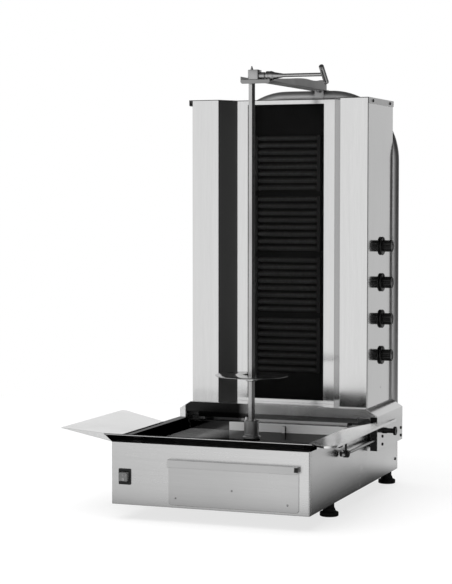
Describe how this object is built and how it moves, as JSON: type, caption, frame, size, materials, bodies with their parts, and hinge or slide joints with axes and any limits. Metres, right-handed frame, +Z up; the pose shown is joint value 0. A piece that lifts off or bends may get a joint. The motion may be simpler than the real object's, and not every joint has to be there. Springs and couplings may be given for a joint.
{
  "type": "electric doner kebab grill",
  "caption": "Upright electric grill for a turning meat spit, with a heater tower on a sliding carriage, a drip pan with side wings, a drawer and control knobs.",
  "frame": {"origin": "on the worktop, in the middle of the footprint box of the whole grill", "axes": "+Z up, -Y towards the cook, +X to the cook's right"},
  "size_m": [0.7267, 0.8308, 1.121],
  "materials": {
    "stainless_panel": "satin, brushed along the sheet",
    "pan_steel": "bright pressed sheet, browned by heat in the bowl",
    "spit_steel": "turned and drawn bright bar",
    "zinc_plate": "dull zinc plate",
    "reflector_steel": "heat-dulled reflector sheet",
    "screw_black": "blackened screws",
    "black_plastic": "black moulded, low sheen",
    "terminal_plastic": "off-white moulded",
    "foot_rubber": "matt black",
    "motor_paint": "dark grey enamel",
    "cast_housing": "die cast",
    "tinted_glass": "smoked glass ceramic, glossy",
    "element_sheath": "dark oxidised sheath"
  },
  "bodies": {
    "base": {"base_front": "stainless_panel", "base_sides": "stainless_panel", "base_back": "stainless_panel", "base_floor": "zinc_plate", "base_deck": "stainless_panel", "drip_pan": "pan_steel", "drawer_runners": "zinc_plate", "motor_bracket": "zinc_plate", "gearbox": "cast_housing", "gear_motor": "motor_paint", "shaft_bearing": "cast_housing", "switch_housing": "black_plastic", "terminal_block": "terminal_plastic", "cable_gland": "black_plastic", "base_screws": "screw_black", "mast": "stainless_panel", "top_arm": "stainless_panel", "arm_strap": "zinc_plate", "arm_bolts": "zinc_plate", "bearing_block": "spit_steel", "rod_bracket": "zinc_plate"},
    "spit": {"drive_shaft": "spit_steel", "spit_socket": "spit_steel", "spit_rod": "spit_steel"},
    "disc": {"meat_disc": "stainless_panel"},
    "disc_thumbscrew": {"disc_screw": "spit_steel"},
    "left_guide_wing": {"left_wing": "stainless_panel"},
    "right_guide_wing": {"right_wing": "stainless_panel"},
    "drawer": {"drawer_tray": "zinc_plate", "drawer_front": "stainless_panel"},
    "rocker": {"switch_rocker": "black_plastic"},
    "pin": {"centre_pin": "spit_steel"},
    "clamp": {"clamp_screw": "spit_steel", "tommy_bar": "spit_steel"},
    "carriage": {"carriage_portal": "stainless_panel", "carriage_runners": "zinc_plate", "cheek_left": "stainless_panel", "cheek_right": "stainless_panel", "apron": "stainless_panel", "guide_pads": "black_plastic", "carriage_screws": "screw_black", "guide_rod": "spit_steel", "tower_shell": "stainless_panel", "front_panels": "stainless_panel", "window_frame": "stainless_panel", "tower_lid": "stainless_panel", "glass_panel": "tinted_glass", "heater_elements": "element_sheath", "heat_reflector": "reflector_steel", "energy_regulators": "terminal_plastic"},
    "rod_nut": {"wing_nut": "black_plastic"},
    "side_knob": {"side_clamp": "black_plastic"},
    "control_1": {"knob_1": "black_plastic"},
    "control_2": {"knob_2": "black_plastic"},
    "control_3": {"knob_3": "black_plastic"},
    "control_4": {"knob_4": "black_plastic"},
    "foot_front_left_body": {"foot_front_left": "foot_rubber"},
    "foot_front_right_body": {"foot_front_right": "foot_rubber"},
    "foot_rear_left_body": {"foot_rear_left": "foot_rubber"},
    "foot_rear_right_body": {"foot_rear_right": "foot_rubber"}
  },
  "joints": [
    {"name": "spit_turn", "type": "hinge", "parent": "base", "child": "spit", "pos_m": [0.0502, -0.0926, 0.187], "axis": [0, 0, 1], "continuous": true},
    {"name": "disc_height", "type": "slide", "parent": "spit", "child": "disc", "axis": [0, 0, 1], "range_m": [-0.09, 0.45]},
    {"name": "disc_screw_turn", "type": "hinge", "parent": "disc", "child": "disc_thumbscrew", "pos_m": [0.03467, -0.08568, 0.3265], "axis": [-0.9135, 0.4067, 0], "range_deg": [0, 720]},
    {"name": "left_wing_lift", "type": "slide", "parent": "base", "child": "left_guide_wing", "axis": [0, 0, 1], "range_m": [0, 0.06]},
    {"name": "right_wing_lift", "type": "slide", "parent": "base", "child": "right_guide_wing", "axis": [0, 0, 1], "range_m": [0, 0.06]},
    {"name": "drawer_pull", "type": "slide", "parent": "base", "child": "drawer", "axis": [0, -1, 0], "range_m": [0, 0.18]},
    {"name": "switch_rock", "type": "hinge", "parent": "base", "child": "rocker", "pos_m": [-0.1693, -0.3926, 0.107], "axis": [1, 0, 0], "range_deg": [-12, 0]},
    {"name": "pin_lift", "type": "slide", "parent": "base", "child": "pin", "axis": [0, 0, 1], "range_m": [0, 0.03]},
    {"name": "clamp_turn", "type": "hinge", "parent": "base", "child": "clamp", "pos_m": [0.0902, -0.0926, 1.0955], "axis": [-1, 0, 0], "range_deg": [0, 720]},
    {"name": "carriage_slide", "type": "slide", "parent": "base", "child": "carriage", "axis": [0, -1, 0], "range_m": [0, 0.03]},
    {"name": "rod_nut_turn", "type": "hinge", "parent": "carriage", "child": "rod_nut", "pos_m": [0.3197, -0.1606, 0.154], "axis": [0, -1, 0], "range_deg": [0, 720]},
    {"name": "side_clamp_turn", "type": "hinge", "parent": "carriage", "child": "side_knob", "pos_m": [0.3402, 0.1754, 0.172], "axis": [1, 0, 0], "range_deg": [0, 720]},
    {"name": "control_1_turn", "type": "hinge", "parent": "carriage", "child": "control_1", "pos_m": [0.3085, 0.2484, 0.6585], "axis": [-1, 0, 0], "range_deg": [0, 270]},
    {"name": "control_2_turn", "type": "hinge", "parent": "carriage", "child": "control_2", "pos_m": [0.3085, 0.2484, 0.561], "axis": [-1, 0, 0], "range_deg": [0, 270]},
    {"name": "control_3_turn", "type": "hinge", "parent": "carriage", "child": "control_3", "pos_m": [0.3085, 0.2484, 0.463], "axis": [-1, 0, 0], "range_deg": [0, 270]},
    {"name": "control_4_turn", "type": "hinge", "parent": "carriage", "child": "control_4", "pos_m": [0.3085, 0.2484, 0.3655], "axis": [-1, 0, 0], "range_deg": [0, 270]},
    {"name": "foot_front_left_level", "type": "slide", "parent": "base", "child": "foot_front_left_body", "axis": [0, 0, -1], "range_m": [0, 0.012]},
    {"name": "foot_front_right_level", "type": "slide", "parent": "base", "child": "foot_front_right_body", "axis": [0, 0, -1], "range_m": [0, 0.012]},
    {"name": "foot_rear_left_level", "type": "slide", "parent": "base", "child": "foot_rear_left_body", "axis": [0, 0, -1], "range_m": [0, 0.012]},
    {"name": "foot_rear_right_level", "type": "slide", "parent": "base", "child": "foot_rear_right_body", "axis": [0, 0, -1], "range_m": [0, 0.012]}
  ]
}
